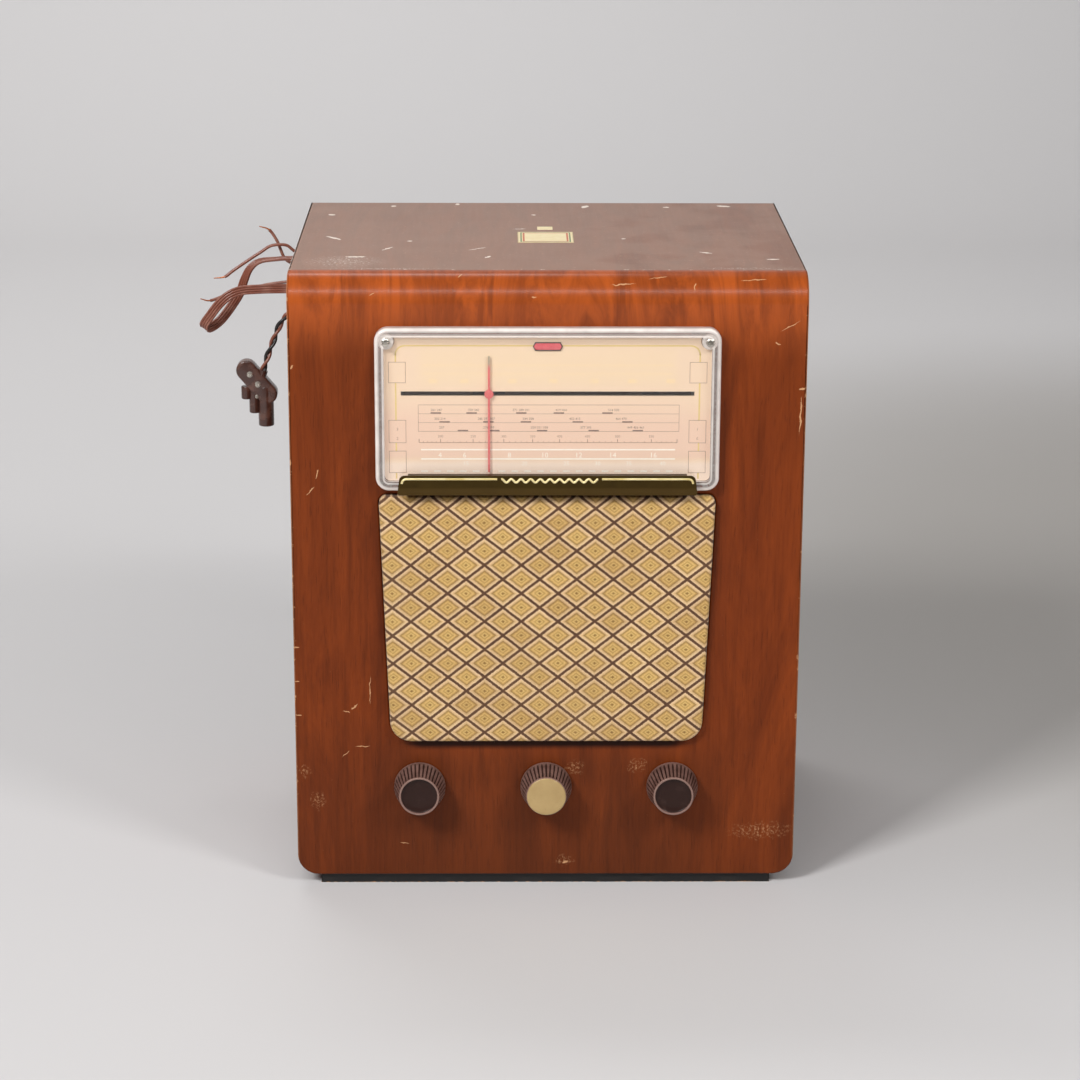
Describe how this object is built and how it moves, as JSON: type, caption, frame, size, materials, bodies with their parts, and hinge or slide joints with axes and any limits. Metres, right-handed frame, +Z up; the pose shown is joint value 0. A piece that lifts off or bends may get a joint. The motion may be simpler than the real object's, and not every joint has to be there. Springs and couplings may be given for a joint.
{
  "type": "table radio receiver",
  "caption": "Upright table radio: bent plywood case, dial with a cord-driven pointer, cloth grille, fluted knobs, loudspeaker, chassis, mains lead with plug and flat flex tied up behind.",
  "frame": {"origin": "middle of the box round the case, knobs and runners, at the runners' feet", "axes": "+X to the right seen from the front, +Y into the case, +Z up"},
  "size_m": [0.4754, 0.3588, 0.4762],
  "materials": {
    "walnut_ply": "satin",
    "raw_wood": "matte",
    "black_rail": "satin",
    "fibreboard": "matte",
    "steel": "satin",
    "plated_steel": "polished",
    "paper": "matte",
    "cloth": "matte",
    "clear_plastic": "gloss",
    "brass": "satin",
    "printed_plate": "satin",
    "red_plastic": "gloss",
    "aluminium": "satin",
    "glass": "gloss",
    "ivory_plastic": "gloss",
    "bakelite": "gloss",
    "paxolin": "satin",
    "iron": "matte",
    "cone_paper": "matte",
    "rubber": "matte",
    "brown_flex": "satin",
    "black_flex": "satin",
    "cord": "matte",
    "dark_plastic": "satin",
    "felt": "matte"
  },
  "bodies": {
    "case": {"case_wrap": "walnut_ply", "left_side": "walnut_ply", "right_side": "walnut_ply", "base_board": "raw_wood", "glue_blocks": "raw_wood", "runners": "black_rail", "back_panel": "fibreboard", "fixing_screws": "steel", "paper_labels": "paper", "baffle_board": "raw_wood", "grille_frame": "raw_wood", "grille_cloth": "cloth", "dial_window": "clear_plastic", "window_screws": "plated_steel", "trim_strip": "brass", "scale_plate": "printed_plate", "pilot_lens": "red_plastic", "dial_bracket": "steel", "dial_lamps": "glass", "pointer_rail": "plated_steel", "pointer_cord": "cord", "tuning_cord": "cord", "gang_frame": "steel", "gang_stators": "aluminium", "control_bushes": "brass", "volume_control": "plated_steel", "wavechange_switch": "paxolin", "chassis": "steel", "transformers": "iron", "valve_holders": "bakelite", "valves": "glass", "screening_cans": "aluminium", "socket_strip": "paxolin", "speaker_frame": "steel", "speaker_magnet": "iron", "speaker_surround": "felt", "cord_grommets": "rubber", "flex_lead": "brown_flex", "flex_hank": "brown_flex", "flex_tails": "brown_flex", "mains_lead": "black_flex", "mains_hank": "black_flex", "mains_plug": "bakelite", "hank_ties": "cord"},
    "gang": {"gang_rotor": "aluminium", "drive_drum": "ivory_plastic"},
    "pointer": {"pointer": "red_plastic", "carriage": "dark_plastic"},
    "left_idler": {"left_idler": "ivory_plastic"},
    "outer_idler": {"outer_idler": "ivory_plastic"},
    "inner_idler": {"inner_idler": "ivory_plastic"},
    "tuning": {"tuning_spindle": "steel", "tuning_knob": "bakelite"},
    "volume": {"volume_spindle": "steel", "volume_knob": "bakelite"},
    "wavechange": {"switch_spindle": "steel", "wavechange_knob": "bakelite", "wavechange_disc": "ivory_plastic"},
    "cone": {"speaker_cone": "cone_paper"}
  },
  "joints": [
    {"name": "gang_turn", "type": "hinge", "parent": "case", "child": "gang", "pos_m": [0.115, -0.0745, 0.145], "axis": [0, 1, 0], "range_deg": [-48.2, 131.6]},
    {"name": "pointer_slide", "type": "slide", "parent": "case", "child": "pointer", "axis": [1, 0, 0], "range_m": [-0.05, 0.136]},
    {"name": "left_idler_turn", "type": "hinge", "parent": "case", "child": "left_idler", "pos_m": [-0.154, -0.1035, 0.3885], "axis": [0, 1, 0], "range_deg": [-300, 818]},
    {"name": "outer_idler_turn", "type": "hinge", "parent": "case", "child": "outer_idler", "pos_m": [0.158, -0.1035, 0.3885], "axis": [0, 1, 0], "range_deg": [-300, 818]},
    {"name": "inner_idler_turn", "type": "hinge", "parent": "case", "child": "inner_idler", "pos_m": [0.136, -0.1035, 0.3695], "axis": [0, 1, 0], "range_deg": [-818, 300]},
    {"name": "tuning_turn", "type": "hinge", "parent": "case", "child": "tuning", "pos_m": [0.096, -0.0895, 0.081], "axis": [0, 1, 0], "range_deg": [-632.5, 1726]},
    {"name": "volume_turn", "type": "hinge", "parent": "case", "child": "volume", "pos_m": [-0.096, -0.0895, 0.081], "axis": [0, 1, 0], "range_deg": [-150, 150]},
    {"name": "wavechange_turn", "type": "hinge", "parent": "case", "child": "wavechange", "pos_m": [0, -0.0895, 0.081], "axis": [0, 1, 0], "range_deg": [-45, 45]},
    {"name": "cone_slide", "type": "slide", "parent": "case", "child": "cone", "axis": [0, 1, 0], "range_m": [-0.0015, 0.0015], "stiffness_N_per_m": 400, "deforming": ["speaker_surround"]}
  ],
  "couplings": [
    {"joint": "pointer_slide", "follows": "gang_turn", "m_per_rad": 0.059},
    {"joint": "left_idler_turn", "follows": "gang_turn", "ratio": 6.2105},
    {"joint": "outer_idler_turn", "follows": "gang_turn", "ratio": 6.2105},
    {"joint": "inner_idler_turn", "follows": "gang_turn", "ratio": -6.2105},
    {"joint": "tuning_turn", "follows": "gang_turn", "ratio": 13.111}
  ]
}
